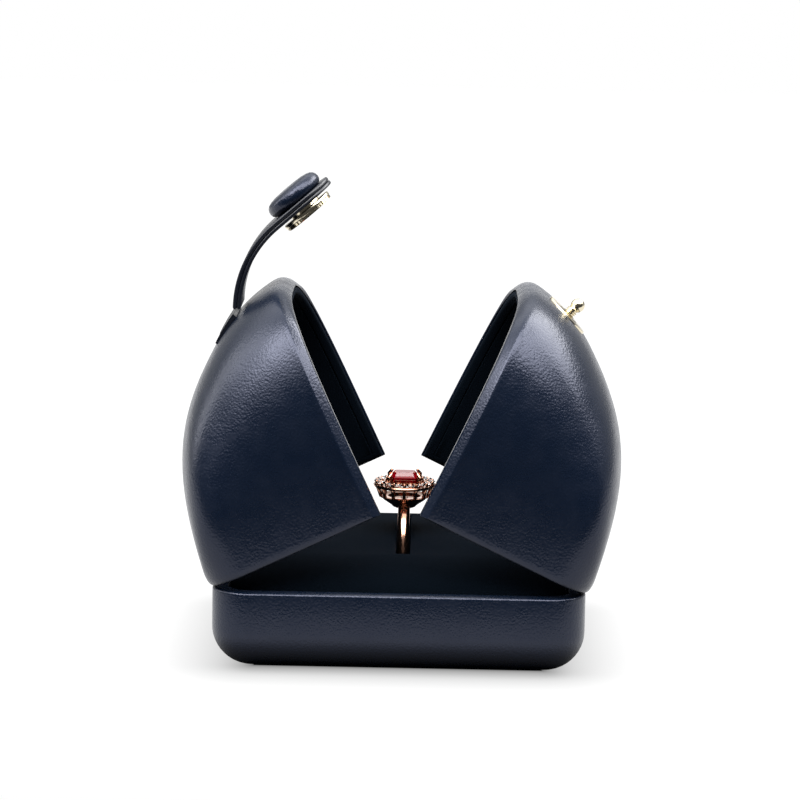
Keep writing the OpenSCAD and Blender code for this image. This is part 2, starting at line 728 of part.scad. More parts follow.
// Flared basket: a foot ring on the cup, bars and posts for the halo, and the rail that carries the stones
module ring_gallery() {
    foot_z = cup_z + cup_h;
    foot_r = cup_r - foot_ring_w / 2;
    top_z = foot_z + foot_ring_t;
    lean = atan((halo_r - foot_r) / (rail_z - top_z));
    reach = norm([halo_r - foot_r, rail_z - top_z]);
    color(rose_c) at_ring() {
        translate([0, 0, foot_z]) difference() {
            cylinder(r = cup_r, h = foot_ring_t, $fn = 24);
            translate([0, 0, -past])
                cylinder(r = cup_r - foot_ring_w, h = foot_ring_t + 2 * past, $fn = 20);
        }
        for (i = [0:halo_n - 1]) rotate([0, 0, 360 * (i + 0.5) / halo_n]) {
            translate([foot_r, 0, top_z]) rotate([0, lean, 0])
                translate([0, 0, -foot_ring_t / 2]) cylinder(d = bar_d, h = reach + foot_ring_t, $fn = 6);
            translate([halo_r + halo_edge / 2, 0, rail_z + rail_t / 2])
                cylinder(d = post_d, h = rail_t / 2 + gem_h + gem_gap, $fn = 6);
        }
        translate([0, 0, rail_z]) difference() {
            cylinder(r = halo_r + halo_edge, h = rail_t, $fn = 28);
            translate([0, 0, -past]) cylinder(r = halo_r - halo_edge, h = rail_t + 2 * past, $fn = 24);
        }
    }
}

module ring_halo() {
    gem_r = min(halo_edge, halo_r * sin(180 / halo_n) - gem_gap);
    color(gem_c) at_ring() for (i = [0:halo_n - 1]) rotate([0, 0, 360 * i / halo_n])
        translate([halo_r, 0, rail_z + rail_t]) cylinder(r1 = gem_r, r2 = gem_r * 0.6, h = gem_h, $fn = 8);
}

// Collet under the centre stone and its four corner claws, which stand on the halo's rail
module ring_claws() {
    cw = stone_w / 2 - 0.1;
    cd = stone_d / 2 - 0.1;
    claw_d = 0.75;
    claw_z = rail_z + rail_t;
    claw_h = table_h - claw_z - 0.2;
    collet_t = 0.5;
    color(rose_c) at_ring() {
        translate([0, 0, claw_z]) difference() {
            translate([-cw, -cd, 0]) cube([2 * cw, 2 * cd, collet_t]);
            translate([collet_t - cw, collet_t - cd, -1])
                cube([2 * (cw - collet_t), 2 * (cd - collet_t), 3]);
        }
        for (sx = [-1, 1], sy = [-1, 1]) translate([sx * (cw + 0.15), sy * (cd + 0.15), claw_z]) {
            cylinder(d = claw_d, h = claw_h, $fn = 8);
            translate([0, 0, claw_h]) sphere(d = claw_d + 0.1, $fn = 8);
        }
    }
}

// Step-cut stone with cut corners, as loops of [share of the outline, height]
module ring_stone() {
    steps = [[0.35, -2.6], [0.7, -2], [0.96, -1.15], [1, -0.95], [0.86, -0.35], [0.66, 0]];
    cut = 0.75;
    claw_in = 0.15;
    loops = [for (s = steps)
        let (w = (stone_w / 2 - claw_in) * s[0], d = (stone_d / 2 - claw_in) * s[0], c = cut * s[0])
        [for (q = [[w, -d + c], [w, d - c], [w - c, d], [-w + c, d], [-w, d - c], [-w, -d + c],
                   [-w + c, -d], [w - c, -d]]) [q[0], q[1], table_h + s[1]]]];
    color(stone_c) at_ring() loft(loops);
}

base_shell();
base_cover();
base_sole();
pad_board();
ring_pad();
hinge_base_leaf(-1);  // left_hinge_base_leaf
hinge_pin(-1);  // left_hinge_pin
hinge_spring(-1);  // left_hinge_spring
base_rivets(-1);  // left_base_rivets
hinge_base_leaf(1);  // right_hinge_base_leaf
hinge_pin(1);  // right_hinge_pin
hinge_spring(1);  // right_hinge_spring
base_rivets(1);  // right_base_rivets
lid_shell(-1);  // left_lid_shell
lid_cover(-1);  // left_lid_cover
lid_liner(-1);  // left_lid_liner
hinge_lid_leaf(-1);  // left_hinge_lid_leaf
lid_rivets(-1);  // left_lid_rivets
lid_shell(1);  // right_lid_shell
lid_cover(1);  // right_lid_cover
lid_liner(1);  // right_lid_liner
hinge_lid_leaf(1);  // right_hinge_lid_leaf
lid_rivets(1);  // right_lid_rivets
stud();
stud_flange();
stud_rivet();
strap_anchor();
strap_outer();
strap_lining();
snap_cap();
snap_cap_cover();
snap_post();
snap_socket();
snap_spring();
ring_band();
ring_gallery();
ring_claws();
ring_stone();
ring_halo();
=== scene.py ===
import math

import bmesh
import bpy
from mathutils import Matrix, Vector


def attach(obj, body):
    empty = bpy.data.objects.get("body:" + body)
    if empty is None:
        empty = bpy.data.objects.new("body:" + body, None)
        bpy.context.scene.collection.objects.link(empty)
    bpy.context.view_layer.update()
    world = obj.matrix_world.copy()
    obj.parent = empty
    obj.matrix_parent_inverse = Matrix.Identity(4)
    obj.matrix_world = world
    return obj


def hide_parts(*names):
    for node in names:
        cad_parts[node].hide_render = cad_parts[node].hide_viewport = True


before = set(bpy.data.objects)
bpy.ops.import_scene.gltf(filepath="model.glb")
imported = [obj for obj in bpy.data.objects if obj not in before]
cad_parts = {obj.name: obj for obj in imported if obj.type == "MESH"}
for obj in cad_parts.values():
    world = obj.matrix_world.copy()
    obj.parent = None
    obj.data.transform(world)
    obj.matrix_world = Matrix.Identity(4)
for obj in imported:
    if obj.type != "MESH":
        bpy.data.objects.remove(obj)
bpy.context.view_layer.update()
mm = 0.001


# Hidden structure: the tray and both lid shells are injection-moulded ABS, dark grey, and carry everything
# else. They stay as the CAD solids and only show as edges inside the hinge slots. The card under the pad is
# grey chipboard.
def linear(code):
    """sRGB hex colour as linear RGBA."""
    parts = [int(code[i : i + 2], 16) / 255 for i in (1, 3, 5)]
    return [p / 12.92 if p <= 0.04045 else ((p + 0.055) / 1.055) ** 2.4 for p in parts] + [1]


def add_node(tree, kind, inputs=None, **settings):
    """A node with its settings, and with each input linked to a socket or set to a value."""
    node = tree.nodes.new(kind)
    for name, value in settings.items():
        setattr(node, name, value)
    for name, value in (inputs or {}).items():
        if isinstance(value, bpy.types.NodeSocket):
            tree.links.new(value, node.inputs[name])
        else:
            node.inputs[name].default_value = value
    return node


def new_material(name, inputs):
    """Material with one Principled shader on its output."""
    material = bpy.data.materials.new(name)
    material.use_nodes = True
    material.node_tree.nodes.clear()
    shader = add_node(material.node_tree, "ShaderNodeBsdfPrincipled", inputs)
    output = add_node(material.node_tree, "ShaderNodeOutputMaterial")
    material.node_tree.links.new(shader.outputs["BSDF"], output.inputs["Surface"])
    return material


def refinish(node, material):
    """Gives a CAD node this material alone."""
    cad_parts[node].data.materials.clear()
    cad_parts[node].data.materials.append(material)


# ABS plastic, satin moulded
abs_plastic = new_material(
    "abs_plastic", {"Base Color": linear("#22262e"), "Roughness": 0.45, "IOR": 1.53}
)
# grey chipboard
card = new_material("chipboard", {"Base Color": linear("#4a4c50"), "Roughness": 0.9, "IOR": 1.5})
for node in ("base_shell", "left_lid_shell", "right_lid_shell"):
    refinish(node, abs_plastic)
refinish("pad_board", card)


# Hinges: zinc-plated pressed steel leaves on a 1 mm wire pin, with flat springs and small rivets, all let
# into slots in the walls. They stay as the CAD solids.
# zinc-plated steel, metal keeps the default IOR
steel = new_material(
    "zinc_plated_steel", {"Base Color": linear("#a9acb1"), "Metallic": 1, "Roughness": 0.3}
)
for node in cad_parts:
    if "hinge" in node or "rivet" in node or node in ("snap_cap", "snap_spring"):
        refinish(node, steel)


# Base cover: one sheet of pebble-grained PU leatherette, 0.8 mm, wrapped round the tray, turned in over its
# rim and in under the sole. A rounded block, opened at the top and underneath and given the sheet's
# thickness.
half_w, half_d, corner_r = 32.5, 30.5, 7.0
base_side, base_h, sole_t, base_round = 0.5, 14.2, 0.5, 6.8
base_x, base_y = half_w - base_side, half_d - base_side
leather_t, wall, rim_bevel, sole_edge = 0.4, 2.6, 0.5, 3.2
hinge_x, hinge_z, barrel_r, barrel_l = 30.9, 14.6, 1.3, 22.6
leaf_out, leaf_in, leaf_half, leaf_low = 30.55, 27.3, 11.05, 6.5


def select_only(piece):
    """Makes a piece the active one and the only one selected."""
    bpy.ops.object.select_all(action="DESELECT")
    bpy.context.view_layer.objects.active = piece
    piece.select_set(True)


def apply_place(piece):
    """Moves a piece's place, turn and scale into its mesh."""
    select_only(piece)
    bpy.ops.object.transform_apply(location=True, rotation=True, scale=True)


def edit(piece, kind="VERT"):
    """Opens a piece in edit mode with nothing selected."""
    select_only(piece)
    bpy.ops.object.mode_set(mode="EDIT")
    bpy.ops.mesh.select_mode(type=kind)
    bpy.ops.mesh.select_all(action="DESELECT")


def pick(piece, kind, test):
    """Selects the verts, edges or faces that pass the test, and nothing else."""
    bpy.ops.mesh.select_all(action="DESELECT")
    bpy.ops.mesh.select_mode(type=kind)
    bm = bmesh.from_edit_mesh(piece.data)
    found = {"VERT": bm.verts, "EDGE": bm.edges, "FACE": bm.faces}[kind]
    for element in found:
        if test(element):
            element.select_set(True)
    bm.select_flush_mode()
    bmesh.update_edit_mesh(piece.data)


def finish_mesh(piece, smooth=35, doubles=0.0005, inside=False):
    """Merges doubles, turns normals out and leaves edit mode with shading smooth up to an angle."""
    bpy.ops.mesh.select_all(action="SELECT")
    bpy.ops.mesh.remove_doubles(threshold=doubles * mm)
    bpy.ops.mesh.normals_make_consistent(inside=inside)
    bpy.ops.object.mode_set(mode="OBJECT")
    bpy.ops.object.shade_smooth_by_angle(angle=math.radians(smooth))


def turn_out(piece):
    """Recalculates a piece's normals, so that its faces point outwards."""
    edit(piece)
    bpy.ops.mesh.select_all(action="SELECT")
    bpy.ops.mesh.normals_make_consistent(inside=False)
    bpy.ops.object.mode_set(mode="OBJECT")


def modify(piece, kind, **settings):
    """Adds a modifier with its settings and applies it."""
    select_only(piece)
    modifier = piece.modifiers.new(kind.lower(), kind)
    for name, value in settings.items():
        setattr(modifier, name, value)
    bpy.ops.object.modifier_apply(modifier=modifier.name)


def block(name, low, high):
    """Cube from corner to corner, in mm."""
    bpy.ops.mesh.primitive_cube_add(
        size=1,
        location=[(a + b) / 2 * mm for a, b in zip(low, high)],
        scale=[(b - a) * mm for a, b in zip(low, high)],
    )
    piece = bpy.context.object
    piece.name = name
    apply_place(piece)
    return piece


def cut(piece, tool, operation="DIFFERENCE"):
    """Boolean of the piece with a tool, which is then removed."""
    modify(piece, "BOOLEAN", object=tool, operation=operation, solver="EXACT")
    bpy.data.objects.remove(tool)


def hinge_slot(low, high):
    """Tool for the slot of one leaf and the barrel, on the left side, closed."""
    tool = block("tool", (-leaf_out, -leaf_half, low), (-leaf_in, leaf_half, high))
    bpy.ops.mesh.primitive_cylinder_add(
        vertices=32,
        radius=barrel_r * mm,
        depth=barrel_l * mm,
        location=(-hinge_x * mm, 0, hinge_z * mm),
        rotation=(math.pi / 2, 0, 0),
    )
    barrel = bpy.context.object
    apply_place(barrel)
    modify(tool, "BOOLEAN", object=barrel, operation="UNION", solver="EXACT")
    bpy.data.objects.remove(barrel)
    return tool


def is_upright(e):
    """True for an edge that stands along z."""
    d = (e.verts[0].co - e.verts[1].co).normalized()
    return abs(d.z) > 0.99


base_cover = block("base_wrap", (-base_x, -base_y, sole_t), (base_x, base_y, base_h))
edit(base_cover)
pick(base_cover, "EDGE", is_upright)
bpy.ops.mesh.bevel(offset=corner_r * mm, segments=14, clamp_overlap=False)
pick(base_cover, "FACE", lambda f: f.normal.z < -0.99)
bpy.ops.mesh.region_to_loop()
bpy.ops.mesh.bevel(offset=base_round * mm, segments=12, clamp_overlap=False)
pick(base_cover, "FACE", lambda f: f.normal.z > 0.99)
bpy.ops.mesh.inset(thickness=wall * mm)
bpy.ops.mesh.delete(type="FACE")
pick(
    base_cover,
    "EDGE",
    lambda e: e.calc_length() > 0
    and all(abs(v.co.z - base_h * mm) < 1e-6 for v in e.verts)
    and len(e.link_faces) == 2
    and any(abs(f.normal.z) < 0.1 for f in e.link_faces),
)
bpy.ops.mesh.bevel(offset=rim_bevel * mm, segments=4, clamp_overlap=False)
pick(base_cover, "FACE", lambda f: f.normal.z < -0.99 and f.calc_area() > 1e-3)
bpy.ops.mesh.inset(thickness=sole_edge * mm)
bpy.ops.mesh.delete(type="FACE")
finish_mesh(base_cover)
modify(base_cover, "SOLIDIFY", thickness=leather_t * mm, offset=-1, use_even_offset=True)
for side in (1, -1):
    tool = hinge_slot(leaf_low, 16)
    if side < 0:
        tool.scale.x = -1
        apply_place(tool)
        turn_out(tool)
    cut(base_cover, tool)
select_only(base_cover)
bpy.ops.object.shade_smooth_by_angle(angle=math.radians(35))

# PU leatherette: smooth polyurethane skin embossed with a pebble grain, dyed black-navy. It gives broad soft
# highlights that the grain breaks up.
leatherette = new_material(
    "pu_leatherette", {
        "Base Color": linear("#06101f"),
        "Roughness": 0.28,
        "IOR": 1.5,
        "Specular Tint": linear("#e2e6ff"),
    }
)
tree = leatherette.node_tree
place = add_node(tree, "ShaderNodeTexCoord")
wobble = add_node(
    tree,
    "ShaderNodeTexNoise",
    {"Vector": place.outputs["Object"], "Scale": 900, "Detail": 2},
)
moved = add_node(
    tree,
    "ShaderNodeVectorMath",
    {0: wobble.outputs["Color"], 1: (0.0003, 0.0003, 0.0003), 2: place.outputs["Object"]},
    operation="MULTIPLY_ADD",
)
# 2800 cells a metre are pebbles about 0.36 mm across
grain = add_node(
    tree,
    "ShaderNodeTexVoronoi",
    {"Vector": moved.outputs[0], "Scale": 2800},
    feature="SMOOTH_F1",
)
creases = add_node(
    tree,
    "ShaderNodeTexNoise",
    {"Vector": place.outputs["Object"], "Scale": 350, "Detail": 4},
)
relief = add_node(
    tree,
    "ShaderNodeBump",
    {"Strength": 0.5, "Distance": 0.00008, "Height": grain.outputs["Distance"]},
    invert=True,
)
relief_2 = add_node(
    tree,
    "ShaderNodeBump",
    {
        "Strength": 0.05,
        "Distance": 0.0001,
        "Height": creases.outputs["Fac"],
        "Normal": relief.outputs["Normal"],
    },
)
worn = add_node(
    tree,
    "ShaderNodeMapRange",
    {
        "Value": creases.outputs["Fac"],
        "From Min": 0.3,
        "From Max": 0.7,
        "To Min": 0.24,
        "To Max": 0.32,
    },
)
shader = tree.nodes["Principled BSDF"]
tree.links.new(relief_2.outputs["Normal"], shader.inputs["Normal"])
tree.links.new(worn.outputs["Result"], shader.inputs["Roughness"])
base_cover.data.materials.append(leatherette)
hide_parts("base_cover")
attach(base_cover, "root")


# Sole: a patch of flocked velvet paper, 0.5 mm, die cut with rounded corners and glued under the base over
# the turned-in leatherette.
sole = block("sole", (-24.8, -22.8, 0), (24.8, 22.8, sole_t))
edit(sole)
pick(sole, "EDGE", is_upright)
bpy.ops.mesh.bevel(offset=1 * mm, segments=6)
pick(sole, "FACE", lambda f: f.normal.z < -0.99)
bpy.ops.mesh.region_to_loop()
bpy.ops.mesh.bevel(offset=0.12 * mm, segments=2)
finish_mesh(sole)

# nylon velvet, near black navy: a dull base under a soft sheen from the upright pile
velvet = new_material(
    "nylon_velvet",
    {
        "Base Color": linear("#02070e"),
        "Roughness": 0.95,
        "IOR": 1.5,
        "Specular IOR Level": 0.05,
        "Sheen Weight": 0.04,
        "Sheen Roughness": 0.5,
        "Sheen Tint": linear("#6f86ad"),
    },
)
tree = velvet.node_tree
place = add_node(tree, "ShaderNodeTexCoord")
# tufts of pile about 0.3 mm across, drawn coarser than the 0.05 mm fibres
pile = add_node(
    tree, "ShaderNodeTexNoise", {"Vector": place.outputs["Object"], "Scale": 3300, "Detail": 3}
)
pile_relief = add_node(
    tree, "ShaderNodeBump", {"Strength": 0.5, "Distance": 0.0001, "Height": pile.outputs["Fac"]}
)
tree.links.new(pile_relief.outputs["Normal"], tree.nodes["Principled BSDF"].inputs["Normal"])
sole.data.materials.append(velvet)
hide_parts("base_sole")
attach(sole, "root")


# Ring pad: a block of soft foam covered with the velvet, crowned, with a slit from front to back that grips
# the ring. A block raised by insets, cut by the slit, whose lips are softened.
pad_z, pad_side, pad_top, pad_inset = 3.9, 12.7, 19.5, 2.9
crown_in, crown_up = 10, 6.3
slit_left, slit_right, slit_end, slit_over = -0.8, 1.8, 17, 16
pad_x, pad_y = base_x - pad_inset, base_y - pad_inset
ring_pad = block("velvet_pad", (-pad_x, -pad_y, pad_z), (pad_x, pad_y, pad_side))
edit(ring_pad)
pick(ring_pad, "EDGE", is_upright)
bpy.ops.mesh.bevel(offset=4.1 * mm, segments=10)
pick(ring_pad, "FACE", lambda f: f.normal.z < -0.99)
bpy.ops.mesh.region_to_loop()
bpy.ops.mesh.bevel(offset=2 * mm, segments=3)
pick(ring_pad, "FACE", lambda f: f.normal.z > 0.99)
crown = [
    (crown_in * (1 - math.cos(math.radians(a))), pad_side + crown_up * math.sin(math.radians(a)))
    for a in range(9, 91, 9)
]
level = (0, pad_side)
for inward, height in crown + [(14.2, 19.29), (18.4, 19.455), (22, pad_top)]:
    bpy.ops.mesh.extrude_region_move(
        TRANSFORM_OT_translate={"value": (0, 0, (height - level[1]) * mm)}
    )
    bpy.ops.transform.resize(
        value=((pad_x - inward) / (pad_x - level[0]), (pad_y - inward) / (pad_y - level[0]), 1),
        center_override=(0, 0, height * mm),
    )
    level = (inward, height)
finish_mesh(ring_pad, smooth=60)
edit(ring_pad)
along_x, along_y = (1, 0, 0), (0, 1, 0)
for at, along in (
    (slit_left, along_x),
    (slit_right, along_x),
    (-slit_end, along_y),
    (slit_end, along_y),
):
    bpy.ops.mesh.select_all(action="SELECT")
    bpy.ops.mesh.bisect(plane_co=[at * mm * a for a in along], plane_no=along)


def in_slit(f):
    """True for a face of the crown over the slit."""
    c = f.calc_center_median() / mm
    return c.z > slit_over and slit_left < c.x < slit_right and abs(c.y) < slit_end


def at_lip(v):
    """True for a vertex on the slit's lips or between them."""
    x, z = v.co.x / mm, v.co.z / mm
    return z > slit_over and slit_left - 0.1 < x < slit_right + 0.1


pick(ring_pad, "FACE", in_slit)
bpy.ops.mesh.extrude_region_move(TRANSFORM_OT_translate={"value": (0, 0, -3 * mm)})
bpy.ops.mesh.extrude_region_move(TRANSFORM_OT_translate={"value": (0, 0, -11 * mm)})
pick(
    ring_pad,
    "EDGE",
    lambda e: len(e.link_faces) == 2
    and e.calc_face_angle() > 0.9
    and all(at_lip(v) for v in e.verts),
)
bpy.ops.mesh.bevel(offset=0.35 * mm, segments=3)
finish_mesh(ring_pad, smooth=60)
ring_pad.data.materials.append(velvet)
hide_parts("ring_pad")
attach(ring_pad, "root")


# Lid covers: leatherette drawn over each half-dome shell and turned round its rims, the same sheet as the
# base's. A grid laid over the closed left lid, its border rolled round the rims and given thickness, then
# swung open. The right one is its mirror image.
lid_h, arch_power, rim_gap, meet_gap, lid_open = 40.5, 3.3, 0.8, 0.4, 25.5
edge_r, rim_reach, lid_z = 1.6, 3.4, base_h + rim_gap
# the ridge's rim profile holds for this many degrees each way and fades out over as many
ridge_half, ridge_fade = 18, 22
# the part of the way to the hinge side over which the skin bulges
belly_from, belly_run = 0.33, 0.6
hinge_at = Vector((-hinge_x, 0, hinge_z)) * mm


def arch_point(x, s, d):
    """Point of the closed left lid's surface, d inside the skin, in mm above its rim plane."""
    h, r = half_d - d, max(corner_r - d, 1)
    e = x - (half_w - d - r)
    y = h if e <= 0 else h - r + math.sqrt(max(0, r * r - e * e))
    top = max((lid_h - d) * math.sqrt(max(0, 1 - (x / (half_w - d)) ** 2)), edge_r)
    p = 2 / arch_power
    side = math.copysign(abs(math.sin(s)) ** p, s)
    return Vector((-x, y * side, edge_r + (top - edge_r) * max(math.cos(s), 0) ** p))


def lid_point(u, s, crease, ridge, low):
    """Point in the lid's skin: u runs from the meeting rim to the hinge side, s over the arch. crease, ridge
    and low are (depth, height over the rim plane) along the front rim, over the ridge and at the bottom
    edge."""
    on_meeting, on_low = u < 1e-6, u > 1 - 1e-6 or abs(s) > math.radians(89.999)
    share = min(max((abs(math.degrees(s)) - ridge_half) / ridge_fade, 0), 1)
    share = share * share * (3 - 2 * share)
    d, h = (a * share + b * (1 - share) for a, b in zip(crease, ridge))
    if on_low:
        d = (d + low[0]) / 2 if on_meeting else low[0]
    first = math.asin((rim_reach + meet_gap / 2) / (half_w - d))
    last = math.acos(edge_r / (lid_h - d))
    x = meet_gap / 2 + h if on_meeting else (half_w - d) * math.sin(first + (last - first) * u)
    p = arch_point(x, s, d)
    if on_low:
        p.z = low[1]
    return (p + Vector((0, 0, lid_z))) * mm


def lid_sheet(name, depth, creases, ridges, lows, belly=0):
    """Sheet over the lid at a depth, its border stepped through the three rim profiles. The belly is how
    far the skin stands past the CAD's plainer curve at the middle of the hinge side, as photographed."""
    rows, cols = 40, 96
    bpy.ops.mesh.primitive_grid_add(x_subdivisions=rows, y_subdivisions=cols, size=2)
    piece = bpy.context.object
    piece.name = name
    edit(piece)
    bm = bmesh.from_edit_mesh(piece.data)
    u_layer = bm.verts.layers.float.new("row")
    s_layer = bm.verts.layers.float.new("column")
    for v in bm.verts:
        v[u_layer] = (v.co.x + 1) / 2
        v[s_layer] = math.radians(90) * v.co.y
        way = (v[u_layer] - belly_from) / belly_run
        swell = max(math.sin(math.pi * way), 0) if 0 < way < 1 else 0
        rim = (depth - belly * swell**1.5 * math.cos(v[s_layer]), rim_reach)
        v.co = lid_point(v[u_layer], v[s_layer], rim, rim, (depth, edge_r))
    bmesh.update_edit_mesh(piece.data)
    pick(piece, "EDGE", lambda e: e.is_boundary)
    for crease, ridge, low in zip(creases, ridges, lows):
        bpy.ops.mesh.extrude_edges_move(TRANSFORM_OT_translate={"value": (0, 0, 0)})
        bm = bmesh.from_edit_mesh(piece.data)
        u_layer = bm.verts.layers.float["row"]
        s_layer = bm.verts.layers.float["column"]
        for v in bm.verts:
            if v.select:
                v.co = lid_point(v[u_layer], v[s_layer], crease, ridge, low)
        bmesh.update_edit_mesh(piece.data)
    return piece


def swing(piece, angle):
    """Turns a closed left-lid piece open about its hinge."""
    turn = Matrix.Rotation(-math.radians(angle), 4, "Y")
    piece.matrix_world = Matrix.Translation(hinge_at) @ turn @ Matrix.Translation(-hinge_at)
    apply_place(piece)


def mirrored(piece, name):
    """Copy of a left-side piece with its own mesh, mirrored to the right."""
    other = piece.copy()
    other.data = piece.data.copy()
    other.name = name
    bpy.context.scene.collection.objects.link(other)
    other.scale.x = -1
    apply_place(other)
    turn_out(other)
    return other


def rounded(depth, height, angles):
    """Quarter ellipse round a rim, as (depth, height over the rim plane)."""
    turns = [math.radians(a) for a in angles]
    return [(depth * (1 - math.cos(t)), height * (1 - math.sin(t))) for t in turns]


front_crease = [(0, 2.2), (-0.07, 1.6), (0, 1.4), (0.13, 1.24), (0.85, 0.32), (1.1, 0.07), (1.4, 0)]
left_cover = lid_sheet(
    "left_wrap",
    0,
    front_crease + [(wall, 0)],
    rounded(3.2, 3.2, (12, 24, 36, 48, 60, 70, 76, 80)),
    rounded(0.45, edge_r, (15, 30, 45, 60, 75, 90)) + [(1.2, 0), (wall, 0)],
    belly=0.95,
)
# the turned-in leatherette is cut away where the hinge sits
for side in (1, -1):
    bpy.ops.mesh.select_all(action="SELECT")
    bpy.ops.mesh.bisect(plane_co=(0, side * leaf_half * mm, 0), plane_no=(0, 1, 0))


def over_leaf(v):
    """True for a vertex of the turned-in edge over the hinge's leaf."""
    x, y, z = v.co / mm
    return abs(z - lid_z) < 0.001 and x < -27 and abs(y) < leaf_half + 0.01


pick(left_cover, "FACE", lambda f: all(over_leaf(v) for v in f.verts))
bpy.ops.mesh.delete(type="FACE")
finish_mesh(left_cover)
modify(left_cover, "SOLIDIFY", thickness=leather_t * mm, offset=-1)
swing(left_cover, lid_open)
right_cover = mirrored(left_cover, "right_wrap")
for piece, body in ((left_cover, "left_lid"), (right_cover, "right_lid")):
    piece.data.materials.append(leatherette)
    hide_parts(body + "_cover")
    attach(piece, body)


# Lid liners: a vacuum-formed card skin flocked with the velvet, pressed into each lid and set 0.3 mm back
# from its rims. Made as the covers are: the sheet lies liner_d inside the skin, and its edge is rolled
# outwards behind the rims.
liner_d, liner_t = 3.85, 0.85
roll = [(liner_d, 0.75), (3.7, 0.45), (3.45, 0.3), (2.95, 0.3)]
soft_edge = [(liner_d, 2.2), (3.6, 2.0), (liner_d, 1.8)] + roll
low_edge = [(liner_d, 1.5), (liner_d, 1.4), (liner_d, 1.2)] + roll
left_liner = lid_sheet("left_velvet", liner_d, soft_edge, soft_edge, low_edge)
finish_mesh(left_liner, inside=True)
modify(left_liner, "SOLIDIFY", thickness=liner_t * mm, offset=-1)
cut(left_liner, hinge_slot(14.2, 14.4))
bpy.ops.object.shade_smooth_by_angle(angle=math.radians(35))
swing(left_liner, lid_open)
right_liner = mirrored(left_liner, "right_velvet")
for piece, body in ((left_liner, "left_lid"), (right_liner, "right_lid")):
    piece.data.materials.append(velvet)
    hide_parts(body + "_liner")
    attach(piece, body)


# Strap: two layers of smooth leather, 0.72 mm each, glued together, bent over the top of the box, with a
# half-round tip. A flat strip with rounded end corners, cut across, given thickness and rounded edges, then
# bent along an arc. The tail of the strap is a piece of its own, skived and glued on the left lid's ridge.
strap_w, strap_layer, strap_up, strap_bend, strap_r = 12.0, 0.72, 64.5, 49.0, 19.3875
flat_run, strap_over, root_x, root_z, glue = 5.4, 6.4, 10.1373, 54.4708, 0.02
arc_l = math.radians(strap_bend) * strap_r


def move_to(piece, matrix):
    """Puts a piece modelled at the origin where the matrix says, and applies it."""
    piece.matrix_world = matrix
    apply_place(piece)


def shift(x, y, z):
    """Matrix of a move, in mm."""
    return Matrix.Translation(Vector((x, y, z)) * mm)


def turn_y(angle):
    """Matrix of a turn about y, in degrees."""
    return Matrix.Rotation(math.radians(angle), 4, "Y")


lid_pose = shift(-hinge_x, 0, hinge_z) @ turn_y(-lid_open) @ shift(hinge_x, 0, -hinge_z)
strap_pose = lid_pose @ shift(-root_x, 0, root_z) @ turn_y(-strap_up)
snap_pose = strap_pose @ shift(0, 0, -strap_r) @ turn_y(strap_bend) @ shift(flat_run, 0, strap_r)


def strap_strip(name, low, high, bevel):
    """One layer of the strap from height low to high over its centre line, in the rest pose."""
    length = arc_l + flat_run + strap_over
    bpy.ops.mesh.primitive_plane_add(size=1, location=(length / 2 * mm, 0, 0))
    piece = bpy.context.object
    piece.name = name
    piece.scale = (length * mm, strap_w * mm, 1)
    bpy.ops.object.transform_apply(location=True, rotation=True, scale=True)
    edit(piece)
    bpy.ops.mesh.select_all(action="SELECT")
    bpy.ops.mesh.extrude_region_move(TRANSFORM_OT_translate={"value": (0, 0, (high - low) * mm)})
    bpy.ops.mesh.select_all(action="SELECT")
    bpy.ops.mesh.normals_make_consistent(inside=False)
    pick(
        piece,
        "EDGE",
        lambda e: is_upright(e) and all(v.co.x > (length - 1) * mm for v in e.verts),
    )
    tip_r = strap_w / 2 - 0.02
    bpy.ops.mesh.bevel(offset=tip_r * mm, segments=20, clamp_overlap=False)
    pick(piece, "FACE", lambda f: abs(f.normal.z) > 0.99)
    bpy.ops.mesh.region_to_loop()
    bpy.ops.mesh.bevel(offset=bevel * mm, segments=3, clamp_overlap=False)
    cuts = 56
    for i in range(1, cuts):
        bpy.ops.mesh.select_all(action="SELECT")
        bpy.ops.mesh.bisect(plane_co=(length * i / cuts * mm, 0, 0), plane_no=(1, 0, 0))
    bm = bmesh.from_edit_mesh(piece.data)
    for v in bm.verts:
        x, y, z = v.co / mm
        z += low
        a = min(x / strap_r, math.radians(strap_bend))
        rest = max(0, x - arc_l)
        r = strap_r + z
        bent_x = r * math.sin(a) + rest * math.cos(a)
        bent_z = r * math.cos(a) - strap_r - rest * math.sin(a)
        v.co = Vector((bent_x, y, bent_z)) * mm
    bmesh.update_edit_mesh(piece.data)
    finish_mesh(piece, smooth=50)
    move_to(piece, strap_pose)
    return piece


# drum-dyed leather, smooth side out, navy black: smoother than the leatherette, with an even satin sheen
strap_leather = new_material(
    "strap_leather", {"Base Color": linear("#080c16"), "Roughness": 0.34, "IOR": 1.5}
)
tree = strap_leather.node_tree
place = add_node(tree, "ShaderNodeTexCoord")
# fine grain of about 0.3 mm
fine_grain = add_node(
    tree, "ShaderNodeTexVoronoi", {"Vector": place.outputs["Object"], "Scale": 3300}, feature="SMOOTH_F1"
)
fine_relief = add_node(
    tree,
    "ShaderNodeBump",
    {"Strength": 0.25, "Distance": 0.00003, "Height": fine_grain.outputs["Distance"]},
    invert=True,
)
tree.links.new(fine_relief.outputs["Normal"], tree.nodes["Principled BSDF"].inputs["Normal"])

strap_outer = strap_strip("top_layer", 0, strap_layer, 0.25)
strap_lining = strap_strip("under_layer", -strap_layer, -glue, 0.25)
# the punched hole that the ball comes up into
bpy.ops.mesh.primitive_cylinder_add(vertices=48, radius=1.6 * mm, depth=3 * mm)
bpy.context.object.matrix_world = snap_pose
cut(strap_lining, bpy.context.object)
for piece, node in ((strap_outer, "strap_outer"), (strap_lining, "strap_lining")):
    piece.data.materials.append(strap_leather)
    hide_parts(node)
    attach(piece, "strap")


